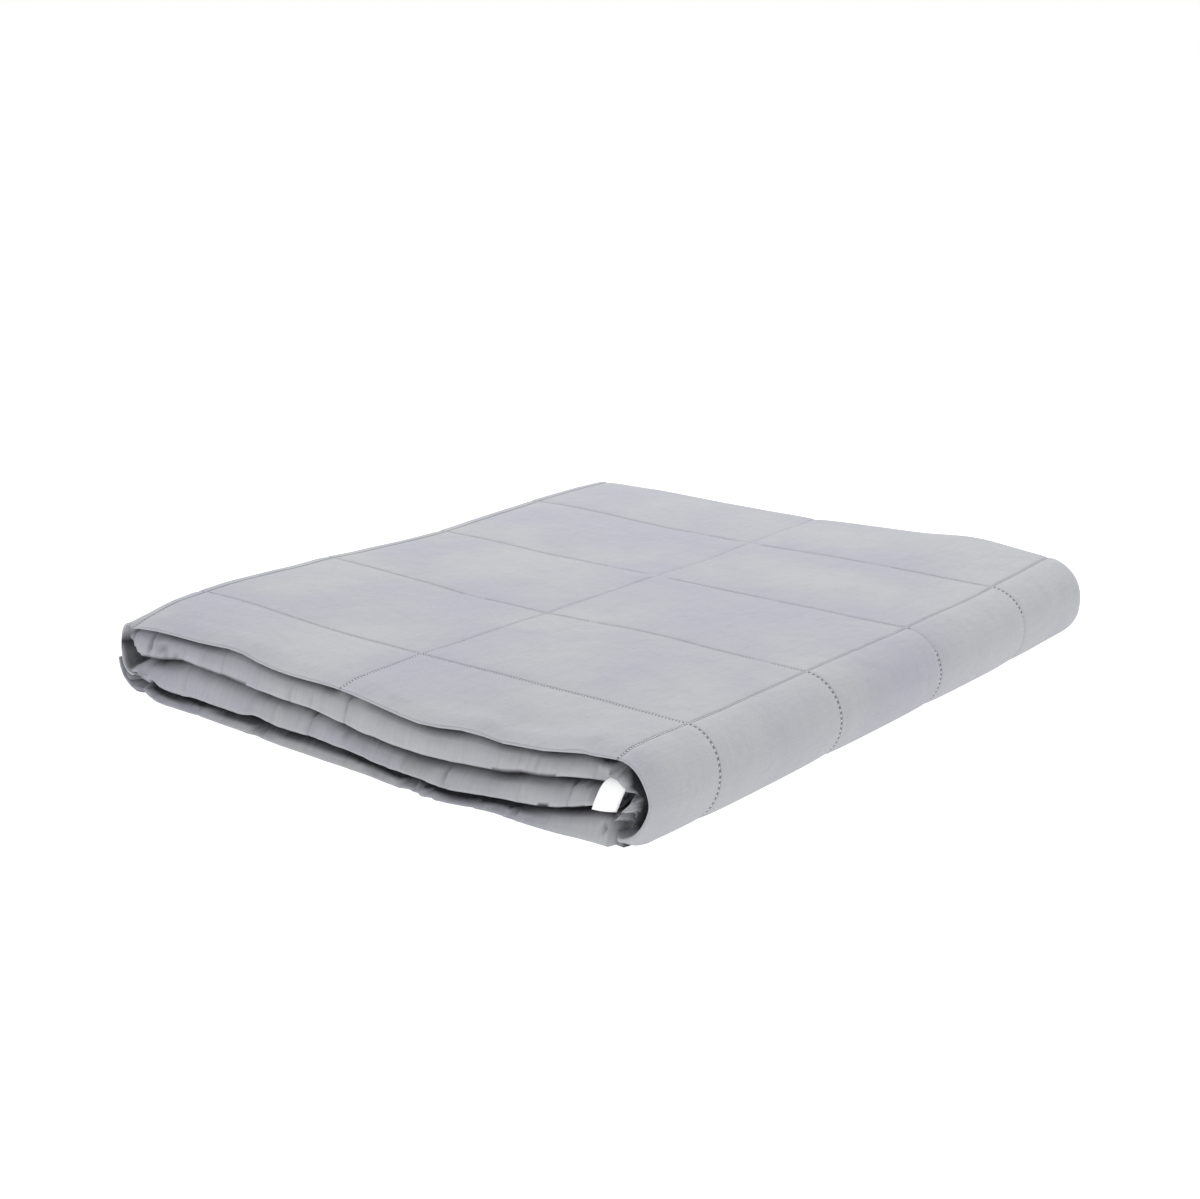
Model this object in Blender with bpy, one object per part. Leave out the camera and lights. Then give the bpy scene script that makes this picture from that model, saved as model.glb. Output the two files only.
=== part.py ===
"""A weighted blanket, folded in thirds both ways and lying flat.

The blanket is one quilted, bead-filled cloth. Its own coordinates are u, along its shorter side, and v,
along its longer side. The v side is folded in thirds first: a flap on top, a back turn, a middle panel,
a front turn, and a tuck between the two. That makes a strip three layers thick. The strip is then folded
in thirds along u: a tucked panel, the left turn, the top panel, the wide right turn round the tucked
panel's end, and the bottom panel. Both folds are walked in the same way, as straight runs and half turns.

Metres, +Z up. The flap's front hem faces -Y, the wide turn faces +X, and the stack rests on z = 0.
"""
import math

import bmesh
import bpy

# The cloth, flat.
CLOTH_U = 1.315
CLOTH_V = 1.52
CELL_U = 0.200          # quilting: spacing of the lines that cross u
CELL_V = 0.118          # and of the lines that cross v
FIRST_LINE_V = 0.066    # from the flap's hem to its first line

# The folded stack.
LAYER = 0.00626         # one layer of cloth with its share of the air
AIR = 0.0006            # left between two layers
STRIP = 3 * LAYER
STACK = 3 * STRIP
LEFT_SIDE = -0.231
RIGHT_SIDE = 0.218
FRONT_SIDE = -0.256
BACK_SIDE = 0.264
LEFT_FLARE = 0.013      # the left turn runs outwards by this much at the back
LEFT_SQUEEZE = 0.0065   # and is drawn in by this much at the front

# How the cloth thins at its stitching and its hems.
CLOTH = LAYER - AIR
SEAM_SHARE = 0.62       # of the full thickness
SEAM_REACH = 0.026
HEM_SHARE = 0.42
HEM_REACH = 0.012
HEM_STATIONS = (0.0, 0.004, 0.012)
NEAR_HEM = 0.018        # no other stations are nearer to a hem than this
STEP_X = CELL_U / 4     # every panel has its stations at the same x and the same y, so that layers stay apart
STEP_Y = CELL_V / 2
MIN_STEP = 0.010
CURL_STATIONS = (0.018, 0.024, 0.030, 0.036, 0.042, 0.050, 0.060, 0.075)
FLOOR_PRESS = 0.0016    # what hangs lower than this is pressed flat on the floor

# Where the turns lie.
FOLD_SET_BACK = 0.15 * LAYER   # how far the front fold lies behind the flap's hem
RIGHT_TURN_X = RIGHT_SIDE - 1.5 * STRIP
LEFT_TURN_X = LEFT_SIDE + STRIP
BACK_TURN_Y = BACK_SIDE - 1.5 * LAYER
FRONT_TURN_Y = FRONT_SIDE + LAYER + FOLD_SET_BACK
TUCK_END_X = RIGHT_TURN_X - 0.0015   # just short of the turn round it
HEM_RECESS = 0.013      # how far the flap's hem lies back where it is folded under

# Runs and half turns of each fold: name, run length, turn radius, stations in the turn.
ACROSS = (
    ("flap", BACK_TURN_Y - FRONT_SIDE, 0.0, 0),
    ("back turn", 0.0, LAYER, 6),
    ("middle", BACK_TURN_Y - FRONT_TURN_Y, 0.0, 0),
    ("front turn", 0.0, LAYER / 2, 6),
    ("tuck", CLOTH_V, 0.0, 0),
)
ALONG = (
    ("tucked", TUCK_END_X - LEFT_TURN_X, 0.0, 0),
    ("left turn", 0.0, STRIP / 2, 7),
    ("top", RIGHT_TURN_X - LEFT_TURN_X, 0.0, 0),
    ("right turn", 0.0, STRIP, 9),
    ("bottom", CLOTH_U, 0.0, 0),
)
ACROSS_START = (FRONT_SIDE, 2.5 * LAYER, 1)
ALONG_START = (TUCK_END_X, 1.5 * STRIP, -1)

# Heights of the creases on the front face: x, under the tucked panel, over it, under the flap's hem.
FRONT_CREASES = (
    (-0.200, 0.0110, 0.0295, 0.0500),
    (-0.140, 0.0100, 0.0330, 0.0515),
    (-0.050, 0.0105, 0.0295, 0.0500),
    (0.035, 0.0095, 0.0245, 0.0465),
    (0.100, 0.0085, 0.0255, 0.0455),
    (0.155, 0.0155, 0.0350, 0.0485),
    (0.188, STRIP, 2 * STRIP, STACK - LAYER),
)
CREASE_REACH = 0.110    # how far in from the front these heights last

# How far the front face stands out: x, distance towards -Y.
FRONT_BOW = (
    (-0.200, -0.0030),
    (-0.125, -0.0020),
    (-0.070, 0.0005),
    (0.000, 0.0022),
    (0.070, 0.0046),
    (0.100, -0.0010),
    (0.175, -0.0040),
    (0.190, -0.0055),
)

# The bottom panel's free end, turned up against the left turn: its outer and inner curves in the even stack.
END_CURL = (            # outer x, outer z, inner x, inner z
    (-0.1400, 0.0000, -0.1400, 0.0188),
    (-0.1900, 0.0006, -0.1900, 0.0188),
    (-0.2010, 0.0024, -0.2010, 0.0185),
    (-0.2110, 0.0056, -0.2090, 0.0180),
    (-0.2234, 0.0106, -0.2156, 0.0180),
    (-0.2311, 0.0168, -0.2218, 0.0200),
    (-0.2353, 0.0238, -0.2281, 0.0254),
    (-0.2374, 0.0345, -0.2317, 0.0335),
)
CURL_BLEND = 0.3        # the share of the curl over which it leaves the straight panel

# The label sewn into the tucked panel's side hem. Seen from above it comes out of the turn towards -Y and
# folds back along the front face.
LABEL_THICK = 0.0006
LABEL_X = TUCK_END_X + 0.0048
LABEL_BEND = 0.0022     # radius of its bend
LABEL_OUT = 0.0016      # how far its middle stands in front of the cloth
LABEL_ROOT = 0.010      # length inside the turn
LABEL_RUN = 0.0065      # length along the front face
LABEL_TALL = 0.0160
LABEL_LEAN = 0.0075     # its foot lies this much further to the left than its head
LABEL_BEND_STEPS = 4
LABEL_RUN_STEPS = 3


def smooth(share):
    """0 to 1, level at both ends."""
    share = min(max(share, 0.0), 1.0)
    return share * share * (3.0 - 2.0 * share)


def read_table(rows, x, column):
    """A column's value at x, eased from one row to the next."""
    if x <= rows[0][0]:
        return rows[0][column]
    for low, high in zip(rows, rows[1:]):
        if x <= high[0]:
            share = smooth((x - low[0]) / (high[0] - low[0]))
            return low[column] + share * (high[column] - low[column])
    return rows[-1][column]


def leg_length(leg):
    """The cloth that a run or a half turn takes, along its middle."""
    return leg[1] if leg[1] else math.pi * leg[2]


FLAP_V = leg_length(ACROSS[0])
BOTTOM_U = sum(leg_length(leg) for leg in ALONG[:-1])
FIRST_LINE_U = sum(leg_length(leg) for leg in ALONG[:3]) % CELL_U     # the top's right edge is on a line
CURL_FROM_U = BOTTOM_U + RIGHT_TURN_X - END_CURL[0][0]


def walk(path, start, distance):
    """Place and outward normal on a fold, in the plane of the fold. All its turns go clockwise."""
    along, level, heading = start
    for leg in path:
        length, radius = leg_length(leg), leg[2]
        last = leg is path[-1]
        if distance <= length or last:
            if not radius:
                return (along + heading * distance, level), (0.0, heading)
            angle = distance / radius
            normal = (heading * math.sin(angle), heading * math.cos(angle))
            centre = level - heading * radius
            return (along + radius * normal[0], centre + radius * normal[1]), normal
        distance -= length
        if radius:
            level -= 2 * heading * radius
            heading = -heading
        else:
            along += heading * length


def stations(path, start, total, marks, near_end=()):
    """Distances along a fold at which the cloth is modelled: at marks on its panels, in turns and at hems."""
    places = set(HEM_STATIONS) | {total - place for place in HEM_STATIONS + near_end}
    last_free = total - max(near_end + (0.0,)) - NEAR_HEM
    along, _, heading = start
    done = 0.0
    for leg in path:
        end = min(done + leg_length(leg), total)
        if leg[2]:
            places |= {done + (end - done) * step / leg[3] for step in range(leg[3] + 1)}
            heading = -heading
        else:
            here = (done + heading * (mark - along) for mark in marks)
            places |= {place for place in here if done + MIN_STEP < place < end - MIN_STEP
                       and NEAR_HEM < place < last_free}
            along += heading * (end - done)
        done = end
    return sorted(places)


def half_thickness(u, v):
    """Half the cloth's thickness: full inside a cell, thinner at the stitching and the hems."""
    off_u = abs((u - FIRST_LINE_U + CELL_U / 2) % CELL_U - CELL_U / 2)
    off_v = abs((v - FIRST_LINE_V + CELL_V / 2) % CELL_V - CELL_V / 2)
    puff = SEAM_SHARE + (1 - SEAM_SHARE) * smooth(min(off_u, off_v) / SEAM_REACH)
    to_hem = min(u, v, CLOTH_U - u, CLOTH_V - v)
    hem = HEM_SHARE + (1 - HEM_SHARE) * smooth(to_hem / HEM_REACH)
    return 0.5 * CLOTH * puff * hem


def turn_end_up(x, z, u):
    """The bottom panel's last stretch, laid between the curl's two curves."""
    share = (u - CURL_FROM_U) / (CLOTH_U - CURL_FROM_U)
    if share <= 0:
        return x, z
    steps = [math.dist(low[:2], high[:2]) for low, high in zip(END_CURL, END_CURL[1:])]
    left = share * sum(steps)
    for step, low, high in zip(steps, END_CURL, END_CURL[1:]):
        if left <= step or high is END_CURL[-1]:
            part = left / step
            outer_x, outer_z, inner_x, inner_z = (a + part * (b - a) for a, b in zip(low, high))
            break
        left -= step
    height = z / STRIP
    blend = smooth(share / CURL_BLEND)
    return (x + blend * (outer_x + (inner_x - outer_x) * height - x),
            z + blend * (outer_z + (inner_z - outer_z) * height - z))


def settle(x, y, z):
    """The stack as it really lies: uneven creases and a bowed face in front, and a flared left end."""
    front = 1 - min(max((y - FRONT_SIDE) / CREASE_REACH, 0.0), 1.0)
    x += front * LEFT_SQUEEZE * max((LEFT_TURN_X - x) / STRIP, 0.0)
    even_levels = (0.0, STRIP, 2 * STRIP, STACK - LAYER, STACK)
    creases = [read_table(FRONT_CREASES, x, column) for column in (1, 2, 3)]
    levels = [0.0] + creases + [creases[2] + LAYER]
    for low, high, new_low, new_high in zip(even_levels, even_levels[1:], levels, levels[1:]):
        if z <= high or high == STACK:
            eased = new_low + (z - low) * (new_high - new_low) / (high - low)
            z += front * (eased - z)
            break
    y -= front * read_table(FRONT_BOW, x, 1)
    x += LEFT_FLARE * (y - FRONT_SIDE) / (BACK_SIDE - FRONT_SIDE) * min(x, 0.0) / -LEFT_SIDE
    z -= AIR / 2
    return x, y, 0.0 if z < FLOOR_PRESS else z


def cloth_point(u, v, side):
    """A point on the cloth's outer (side 1) or inner (side -1) face, folded."""
    half = half_thickness(u, v)
    (y, depth), (normal_y, normal_depth) = walk(ACROSS, ACROSS_START, v)
    y += side * half * normal_y
    depth += side * half * normal_depth
    (x, z), (normal_x, normal_z) = walk(ALONG, ALONG_START, u)
    rise = depth - STRIP / 2
    if v < FLAP_V:
        turned_under = 1.0 - smooth((normal_z + 1) / 2)
        y += HEM_RECESS * turned_under * (1 - v / FLAP_V)
    x, z = turn_end_up(x + rise * normal_x, z + rise * normal_z, u)
    return settle(x, y, z)


def thick_sheet(name, outer, inner, rows, columns, material):
    """One closed solid from two grids of points, row by row: two faces and a rim along the four edges."""
    def number(side, row, column):
        return side * rows * columns + row * columns + column

    faces = []
    for row in range(rows - 1):
        for column in range(columns - 1):
            corners = [(row, column), (row + 1, column), (row + 1, column + 1), (row, column + 1)]
            # Every layer is split along the same diagonal in plan, so that two that lie close stay apart.
            near, far = outer[number(0, *corners[0])], outer[number(0, *corners[2])]
            if (far[0] - near[0]) * (far[1] - near[1]) < 0:
                corners = corners[1:] + corners[:1]
            for triangle in (corners[:3], (corners[0], corners[2], corners[3])):
                faces.append([number(0, *corner) for corner in triangle])
                faces.append([number(1, *corner) for corner in reversed(triangle)])
    rim = [(row, 0) for row in range(rows - 1)]
    rim += [(rows - 1, column) for column in range(columns - 1)]
    rim += [(row, columns - 1) for row in range(rows - 1, 0, -1)]
    rim += [(0, column) for column in range(columns - 1, 0, -1)]
    for here, there in zip(rim, rim[1:] + rim[:1]):
        faces.append([number(0, *there), number(0, *here), number(1, *here), number(1, *there)])

    mesh = bpy.data.meshes.new(name)
    mesh.from_pydata(outer + inner, [], faces)
    mesh.materials.append(material)
    shell = bmesh.new()
    shell.from_mesh(mesh)
    bmesh.ops.triangulate(shell, faces=shell.faces, quad_method="SHORT_EDGE")
    bmesh.ops.recalc_face_normals(shell, faces=shell.faces)
    shell.to_mesh(mesh)
    shell.free()
    mesh.shade_smooth()
    piece = bpy.data.objects.new(name, mesh)
    bpy.context.scene.collection.objects.link(piece)
    return piece


def plain_finish(name, colour, roughness):
    """A plain material with one colour."""
    material = bpy.data.materials.new(name)
    material.use_nodes = True
    shader = material.node_tree.nodes["Principled BSDF"]
    shader.inputs["Base Color"].default_value = (*colour, 1.0)
    shader.inputs["Roughness"].default_value = roughness
    shader.inputs["Metallic"].default_value = 0.0
    return material


def make_blanket():
    """The whole cloth as one solid, folded along both sides."""
    marks_x = [RIGHT_TURN_X - STEP_X * step for step in range(1, int((RIGHT_TURN_X - LEFT_TURN_X) / STEP_X) + 1)]
    marks_y = [FRONT_SIDE + CREASE_REACH]
    marks_y += [FRONT_SIDE + FIRST_LINE_V + STEP_Y * step for step in range(int(BACK_TURN_Y * 2 / STEP_Y))]
    us = stations(ALONG, ALONG_START, CLOTH_U, marks_x, CURL_STATIONS)
    vs = stations(ACROSS, ACROSS_START, CLOTH_V, marks_y)
    sides = [[cloth_point(u, v, side) for u in us for v in vs] for side in (1, -1)]
    cotton = plain_finish("grey_cotton", (0.50, 0.51, 0.55), 0.9)
    return thick_sheet("blanket", *sides, len(us), len(vs), cotton)


def label_plan(distance):
    """Place and normal along the label, seen from above: out of the turn, round its bend, along the front."""
    front_y = FRONT_SIDE - read_table(FRONT_BOW, LABEL_X, 1) - LABEL_OUT
    bend = LABEL_BEND * math.pi / 2
    if distance < LABEL_ROOT:
        return (LABEL_X, front_y + LABEL_BEND + LABEL_ROOT - distance), (1.0, 0.0)
    if distance < LABEL_ROOT + bend:
        angle = (distance - LABEL_ROOT) / LABEL_BEND
        normal = (math.cos(angle), -math.sin(angle))
        return (LABEL_X - LABEL_BEND * (1 - normal[0]), front_y + LABEL_BEND * (1 + normal[1])), normal
    return (LABEL_X - LABEL_BEND - (distance - LABEL_ROOT - bend), front_y), (0.0, -1.0)


def make_label():
    """A small blank label that folds out of the wide turn and lies against the front face."""
    bend = LABEL_BEND * math.pi / 2
    places = [0.0, LABEL_ROOT / 2]
    places += [LABEL_ROOT + bend * step / LABEL_BEND_STEPS for step in range(LABEL_BEND_STEPS + 1)]
    places += [LABEL_ROOT + bend + LABEL_RUN * (step + 1) / LABEL_RUN_STEPS for step in range(LABEL_RUN_STEPS)]
    top = 1.5 * STRIP + LABEL_TALL / 2
    drops = (0.0, 0.5, 1.0)
    sides = []
    for side in (0.5, -0.5):
        points = []
        for place in places:
            (x, y), normal = label_plan(place)
            x += side * LABEL_THICK * normal[0]
            y += side * LABEL_THICK * normal[1]
            lean = LABEL_LEAN * smooth((place - LABEL_ROOT) / (bend + LABEL_RUN))
            points += [(x - lean * drop, y, top - LABEL_TALL * drop) for drop in drops]
        sides.append(points)
    white = plain_finish("label_white", (0.92, 0.92, 0.93), 0.7)
    return thick_sheet("label", *sides, len(places), len(drops), white)


def stand_on_origin(pieces):
    """Move the pieces together so that the middle of the blanket's box is over the origin."""
    corners = [vertex.co for vertex in pieces[0].data.vertices]
    middle = [(min(c[axis] for c in corners) + max(c[axis] for c in corners)) / 2 for axis in (0, 1)]
    for piece in pieces:
        for vertex in piece.data.vertices:
            vertex.co.x -= middle[0]
            vertex.co.y -= middle[1]


for item in list(bpy.data.objects):
    bpy.data.objects.remove(item, do_unlink=True)
stand_on_origin([make_blanket(), make_label()])
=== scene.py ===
import math

import bpy
import numpy as np
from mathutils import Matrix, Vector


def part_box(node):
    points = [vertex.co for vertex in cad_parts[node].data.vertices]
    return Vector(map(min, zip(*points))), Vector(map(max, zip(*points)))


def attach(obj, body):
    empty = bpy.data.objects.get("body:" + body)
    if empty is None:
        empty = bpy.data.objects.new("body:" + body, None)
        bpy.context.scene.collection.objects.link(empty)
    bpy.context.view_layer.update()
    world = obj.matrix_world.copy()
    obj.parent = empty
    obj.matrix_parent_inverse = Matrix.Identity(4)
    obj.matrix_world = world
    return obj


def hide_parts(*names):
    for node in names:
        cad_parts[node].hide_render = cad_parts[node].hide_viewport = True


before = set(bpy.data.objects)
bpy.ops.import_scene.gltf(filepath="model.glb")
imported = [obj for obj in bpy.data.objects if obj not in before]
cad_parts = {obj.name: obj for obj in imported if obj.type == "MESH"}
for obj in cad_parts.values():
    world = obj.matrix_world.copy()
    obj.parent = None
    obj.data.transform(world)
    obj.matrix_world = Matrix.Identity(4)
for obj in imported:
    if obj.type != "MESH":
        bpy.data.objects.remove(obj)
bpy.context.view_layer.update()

# The looks of a folded weighted blanket. The cloth's own coordinates are u, along its shorter side, and v,
# along its longer side. v is folded in thirds into a strip (flap, middle, tuck), and the strip in thirds
# along u (tucked panel, top, bottom), as in the frame's solid. Metres throughout.

CLOTH_U, CLOTH_V = 1.315, 1.52
CELL_U, CELL_V = 0.200, 0.118        # quilting cell
FIRST_LINE_V = 0.066                 # from the flap's hem to its first line
LAYER = 0.00626                      # one layer of cloth with its share of the air
AIR = 0.0006
CLOTH = LAYER - AIR
STRIP = 3 * LAYER
STACK = 3 * STRIP
LEFT_SIDE, RIGHT_SIDE = -0.231, 0.218
FRONT_SIDE, BACK_SIDE = -0.256, 0.264
MIDDLE_FLARE = 0.0045                # the left turn runs outwards by this much halfway back
LEFT_FLARE = 0.013                   # and by this much at the back
TURN_DRIFT = 0.009                   # the quilting runs forward by this much on its way down the right turn
BACK_CORNER = 0.0035                 # the right turn's back corner is drawn in by this much

RIGHT_TURN_X = RIGHT_SIDE - 1.5 * STRIP
LEFT_TURN_X = LEFT_SIDE + STRIP
BACK_TURN_Y = BACK_SIDE - 1.5 * LAYER
FRONT_TURN_Y = FRONT_SIDE + 1.15 * LAYER
TUCK_END_X = RIGHT_TURN_X - 0.0015

# Runs and half turns of each fold: name, run length, turn radius. The last run ends at the cloth's edge.
ACROSS = (
    ("flap", BACK_TURN_Y - FRONT_SIDE, 0.0),
    ("back turn", 0.0, LAYER),
    ("middle", BACK_TURN_Y - FRONT_TURN_Y, 0.0),
    ("front turn", 0.0, LAYER / 2),
    ("tuck", CLOTH_V, 0.0),
)
ALONG = (
    ("tucked", TUCK_END_X - LEFT_TURN_X, 0.0),
    ("left turn", 0.0, STRIP / 2),
    ("top", RIGHT_TURN_X - LEFT_TURN_X, 0.0),
    ("right turn", 0.0, STRIP),
    ("bottom", CLOTH_U, 0.0),
)
ACROSS_START = (FRONT_SIDE, 2.5 * LAYER, 1)
ALONG_START = (TUCK_END_X, 1.5 * STRIP, -1)
ACROSS_ENDS = np.cumsum([run or math.pi * radius for _, run, radius in ACROSS])
ALONG_ENDS = np.cumsum([run or math.pi * radius for _, run, radius in ALONG])
FIRST_LINE_U = ALONG_ENDS[2] % CELL_U

LEFT_TURN_U, TOP_U, RIGHT_TURN_U, BOTTOM_U = (float(end) for end in ALONG_ENDS[:4])
FLAP_V, _, MIDDLE_V, TUCK_V = (float(end) for end in ACROSS_ENDS[:4])

# Where the cloth is modelled, along u and along v. Bands of rows marked fine have every column, the
# others every third one on the flat runs.
COLUMNS = (                          # from, to, spacing
    (0.000, LEFT_TURN_U, 0.0024),
    (LEFT_TURN_U, TOP_U, 0.0016),
    (TOP_U, RIGHT_TURN_U - 0.025, 0.0024),
    (RIGHT_TURN_U - 0.025, BOTTOM_U + 0.010, 0.0014),
    (BOTTOM_U + 0.010, CLOTH_U, 0.0023),
)
ROWS = (                             # from, to, spacing, fine
    (0.000, 0.0045, 0.0009, True),
    (0.0045, 0.0300, 0.0030, True),
    (0.030, 0.500, 0.0095, False),
    (0.500, 0.530, 0.0030, False),
    (0.530, 0.985, 0.0450, False),
    (0.985, 1.008, 0.0030, True),
    (1.008, 1.042, 0.0010, True),
    (1.042, 1.056, 0.0028, True),
    (1.056, CLOTH_V, 0.0450, False),
)
LINE_STEPS = (0.0, 0.0012, 0.0030, 0.0065)   # extra stations on both sides of a quilting line
CLEAR_OF_LINE = 0.0006               # other stations closer than this to an extra one are left out
COARSE_STEP = 3
INNER_STEP = 2                       # the hidden inner face has this many times fewer again

# How the cloth thins at the stitching and at the hems.
DRAWN_IN = 0.26                      # shares of the thickness lost close to a line and around it
PINCH_WIDE, SHOULDER_WIDE = 0.0016, 0.015
HEM_SHARE, HEM_WIDE = 0.28, 0.014    # thickness left at a hem's edge, and where it is full again

# Where the folds reach, along u or v.
FOLD_MARGIN = 0.05                   # the front fold's cloth beyond its turn
TURN_MARGIN = 0.03                   # the strip beyond a turn that still shows in it
TURN_BLEND = 0.020                   # how gently the strip goes over into a turn
HEM_REACH = 0.040                    # how far from its edge the flap's hem leaves the even stack
HEM_BACK = 0.026                     # how far the hem lies back where the strip is turned under

# Heights on the front face, by x: the bottom panel's upper crease, the crease under the top panel, and the
# underside of the flap's hem.
LOW_CREASE = (
    (-0.240, 0.0130), (-0.206, 0.0125), (-0.198, 0.0108), (-0.190, 0.0098), (-0.144, 0.0098),
    (-0.091, 0.0101), (-0.006, 0.0107), (0.018, 0.0093), (0.052, 0.0094), (0.073, 0.0075), (0.095, 0.0078),
    (0.115, 0.0100), (0.139, 0.0126), (0.156, 0.0156), (0.175, 0.0205), (0.186, 0.0220), (0.240, 0.0222),
)
MID_CREASE = (
    (-0.240, 0.0290), (-0.204, 0.0291), (-0.188, 0.0302), (-0.164, 0.0342), (-0.142, 0.0328),
    (-0.060, 0.0299), (-0.040, 0.0297), (-0.005, 0.0257), (0.035, 0.0243), (0.074, 0.0245),
    (0.114, 0.0262), (0.126, 0.0290), (0.141, 0.0302), (0.160, 0.0338), (0.182, 0.0362),
    (0.192, 0.0366), (0.240, 0.0366),
)
FLAP_CREASE = (
    (-0.240, 0.0470), (-0.2155, 0.0480), (-0.200, 0.0501), (-0.140, 0.0523), (-0.099, 0.0531),
    (-0.087, 0.0508), (-0.012, 0.0488), (0.036, 0.0462), (0.056, 0.0449), (0.096, 0.0459),
    (0.106, 0.0444), (0.126, 0.0455), (0.156, 0.0479), (0.165, 0.0500), (0.172, 0.0495),
    (0.184, STACK - LAYER), (0.240, STACK - LAYER),
)
CREASE_REACH = 0.075                 # how far in from the front the creases' heights last
SAG_SKEW = 1.7                       # how low down the front fold is widest
UNDERCUT = 0.0075                    # how far a fold's top goes in under the one above
SAG_DEPTH = 0.0052                   # how far its upper side lies back
SAG_FORWARD = 0.0008                 # how far the whole fold comes forward
FOLD_DEEP = 0.022                    # how far in from the front a fold sags
FOOT_TUCK = 0.002                    # how far a fold's foot goes in

# How much fuller the front fold is, as a share, at the right turn, the left turn and the turned-up end.
# Below 0 it is thinner.
RIGHT_FULLER, LEFT_FULLER, END_FULLER = -0.20, 0.36, -0.25
LEFT_HANG = 0.75                     # and where it hangs down beside the left turn

# How the top stands above the even stack: at the back, at its middle, at the left and at the back right
# line. The hollow lies behind the flap's hem.
BACK_RISE, BACK_MIDDLE_RISE, LEFT_RISE, BACK_RIGHT_RISE = 0.0030, 0.0016, 0.0046, 0.0052
HEM_HOLLOW = 0.0016

LATTICE = 256                        # cells of a noise before it repeats

# How far the front face stands out towards -Y, by x.
FRONT_BOW = (
    (-0.240, -0.0030), (-0.200, -0.0030), (-0.125, -0.0020), (-0.070, 0.0005), (0.000, 0.0022),
    (0.070, 0.0046), (0.100, -0.0010), (0.130, -0.0004), (0.175, -0.0040), (0.190, -0.0055),
    (0.240, -0.0060),
)

# The gap under the tucked panel, where its flap's hem lies back, by x.
LOW_GAP = (
    (-0.240, 0.0020), (-0.202, 0.0020), (-0.197, 0.0062), (-0.189, 0.0026), (-0.150, 0.0020),
    (-0.105, 0.0017), (-0.094, 0.0042), (-0.080, 0.0026), (-0.066, 0.0008), (-0.020, 0.0004),
    (0.100, 0.0003), (0.165, 0.0004), (0.174, 0.0014), (0.186, 0.0004), (0.240, 0.0003),
)

# The bottom panel's free end, turned up against the left turn: its outer and inner curves in the even
# stack.
END_CURL = (                         # outer x, outer z, inner x, inner z
    (-0.1400, 0.0000, -0.1400, 0.0188),
    (-0.1900, 0.0006, -0.1900, 0.0188),
    (-0.2010, 0.0024, -0.2010, 0.0185),
    (-0.2110, 0.0056, -0.2090, 0.0180),
    (-0.2234, 0.0106, -0.2156, 0.0180),
    (-0.2311, 0.0168, -0.2218, 0.0200),
    (-0.2353, 0.0238, -0.2281, 0.0254),
    (-0.2374, 0.0345, -0.2317, 0.0335),
)
CURL_FROM_U = BOTTOM_U + RIGHT_TURN_X - END_CURL[0][0]
LEFT_SQUEEZE = 0.0065                # the left turn is drawn in by this much at the front
RIGHT_SQUEEZE = 0.0022               # and the right turn by this much
UPPER_LEFT_OUT = 0.0085              # the left turn's upper fold stands out by this much

# The hollow inside the left turn, behind both of these edges.
LEFT_HOLLOW = (                      # inward x, inward z, edge x, edge z
    (-0.460, -0.888, -0.2238, 0.0396),
    (-0.648, 0.761, -0.2180, 0.0170),
)
HOLLOW_DEEP, POCKET_DEEP, ARC_DEEP = 0.013, 0.012, 0.014     # the hollow, the end's pocket, the right gap

# How much shade is painted into the crevices, from 0 to 1: the crease lines, the wide shade under them, the
# left turn's hollow and the dents.
PAINTED_CREASE_SHADE = (                     # crease, strength of its painted shade, how far below it this reaches
    (LOW_CREASE, 1.0, 0.0050),
    (MID_CREASE, 0.9, 0.0042),
    (FLAP_CREASE, 1.0, 0.0052),
)
PAINTED_BROAD_SHADE, PAINTED_HOLLOW_SHADE, PAINTED_DENT_SHADE = 0.16, 0.72, 0.60

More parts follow.
